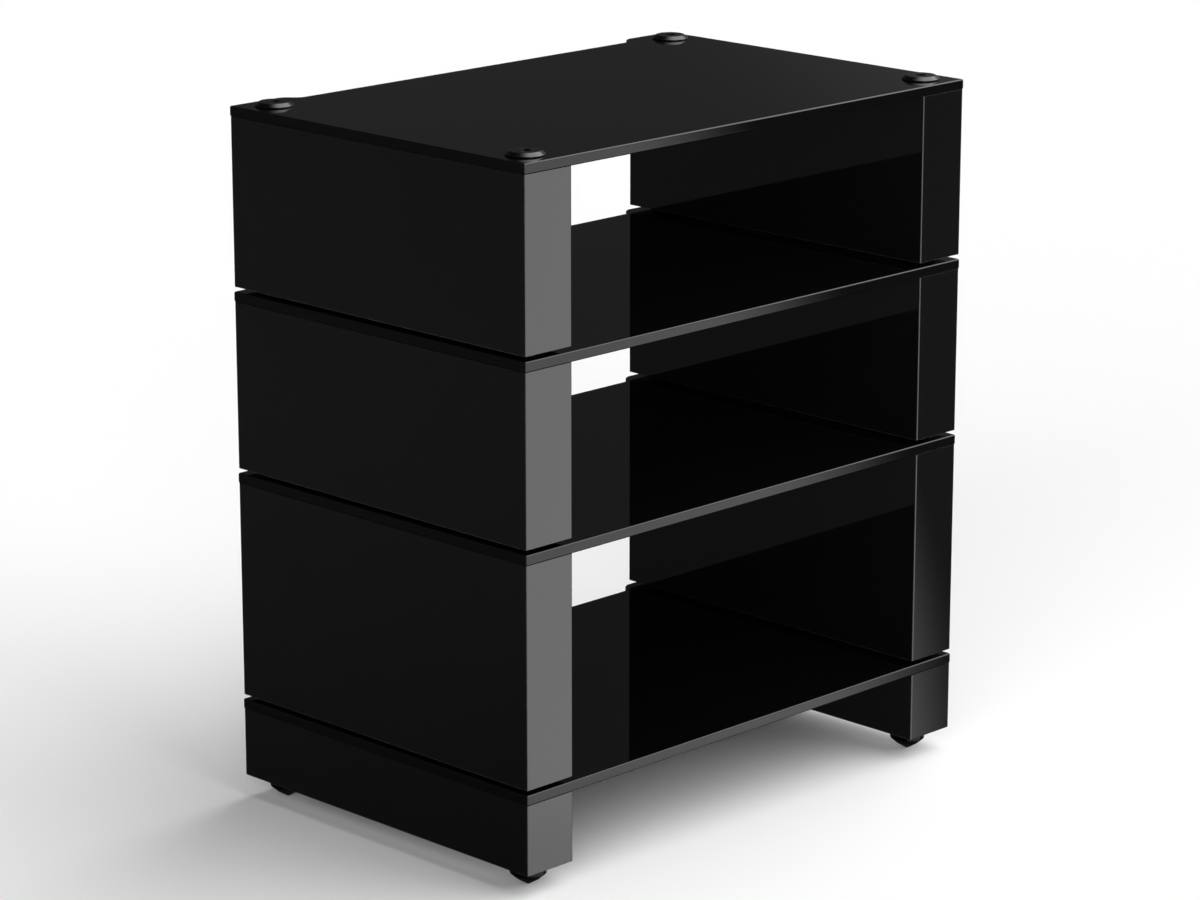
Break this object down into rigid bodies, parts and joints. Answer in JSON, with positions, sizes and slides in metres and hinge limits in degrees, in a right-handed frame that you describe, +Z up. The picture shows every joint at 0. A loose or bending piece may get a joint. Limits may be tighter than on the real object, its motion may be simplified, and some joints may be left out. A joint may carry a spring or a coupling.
{
  "type": "audio equipment rack",
  "caption": "Gloss black stacking rack for audio components: notched shelves on deep side uprights, dished discs at the corners and pointed feet.",
  "frame": {"origin": "on the floor, under the middle of the rack's width and depth", "axes": "+Z up, +X to the rack's right as seen from the front, +Y to its back, so the front faces -Y"},
  "size_m": [0.6, 0.4, 0.6953],
  "materials": {
    "shelf": "opaque black glass, polished, arrised edges",
    "upright": "fibreboard in polished black lacquer",
    "disc": "black chrome",
    "foot": "black chrome",
    "spike": "black chrome",
    "tie_tube": "zinc plated"
  },
  "bodies": {
    "base_module": {"base_shelf": "shelf", "base_upright_left": "upright", "base_upright_right": "upright", "base_tie_tube_front_left": "tie_tube", "base_tie_tube_front_right": "tie_tube", "base_tie_tube_rear_left": "tie_tube", "base_tie_tube_rear_right": "tie_tube", "base_disc_front_left": "disc", "base_disc_front_right": "disc", "base_disc_rear_left": "disc", "base_disc_rear_right": "disc"},
    "foot_front_left": {"base_foot_front_left": "foot"},
    "foot_front_right": {"base_foot_front_right": "foot"},
    "foot_rear_left": {"base_foot_rear_left": "foot"},
    "foot_rear_right": {"base_foot_rear_right": "foot"},
    "lower_module": {"lower_shelf": "shelf", "lower_upright_left": "upright", "lower_upright_right": "upright", "lower_stacking_spike_front_left": "spike", "lower_stacking_spike_front_right": "spike", "lower_stacking_spike_rear_left": "spike", "lower_stacking_spike_rear_right": "spike", "lower_tie_tube_front_left": "tie_tube", "lower_tie_tube_front_right": "tie_tube", "lower_tie_tube_rear_left": "tie_tube", "lower_tie_tube_rear_right": "tie_tube", "lower_disc_front_left": "disc", "lower_disc_front_right": "disc", "lower_disc_rear_left": "disc", "lower_disc_rear_right": "disc"},
    "middle_module": {"middle_shelf": "shelf", "middle_upright_left": "upright", "middle_upright_right": "upright", "middle_stacking_spike_front_left": "spike", "middle_stacking_spike_front_right": "spike", "middle_stacking_spike_rear_left": "spike", "middle_stacking_spike_rear_right": "spike", "middle_tie_tube_front_left": "tie_tube", "middle_tie_tube_front_right": "tie_tube", "middle_tie_tube_rear_left": "tie_tube", "middle_tie_tube_rear_right": "tie_tube", "middle_disc_front_left": "disc", "middle_disc_front_right": "disc", "middle_disc_rear_left": "disc", "middle_disc_rear_right": "disc"},
    "upper_module": {"upper_shelf": "shelf", "upper_upright_left": "upright", "upper_upright_right": "upright", "upper_stacking_spike_front_left": "spike", "upper_stacking_spike_front_right": "spike", "upper_stacking_spike_rear_left": "spike", "upper_stacking_spike_rear_right": "spike", "upper_tie_tube_front_left": "tie_tube", "upper_tie_tube_front_right": "tie_tube", "upper_tie_tube_rear_left": "tie_tube", "upper_tie_tube_rear_right": "tie_tube", "upper_disc_front_left": "disc", "upper_disc_front_right": "disc", "upper_disc_rear_left": "disc", "upper_disc_rear_right": "disc"}
  },
  "joints": [
    {"name": "foot_front_left_level", "type": "slide", "parent": "base_module", "child": "foot_front_left", "axis": [0, 0, 1], "range_m": [0, 0.01]},
    {"name": "foot_front_right_level", "type": "slide", "parent": "base_module", "child": "foot_front_right", "axis": [0, 0, 1], "range_m": [0, 0.01]},
    {"name": "foot_rear_left_level", "type": "slide", "parent": "base_module", "child": "foot_rear_left", "axis": [0, 0, 1], "range_m": [0, 0.01]},
    {"name": "foot_rear_right_level", "type": "slide", "parent": "base_module", "child": "foot_rear_right", "axis": [0, 0, 1], "range_m": [0, 0.01]},
    {"name": "lower_module_lift", "type": "slide", "parent": "base_module", "child": "lower_module", "axis": [0, 0, 1], "range_m": [0, 0.06]},
    {"name": "middle_module_lift", "type": "slide", "parent": "lower_module", "child": "middle_module", "axis": [0, 0, 1], "range_m": [0, 0.06]},
    {"name": "upper_module_lift", "type": "slide", "parent": "middle_module", "child": "upper_module", "axis": [0, 0, 1], "range_m": [0, 0.06]}
  ]
}
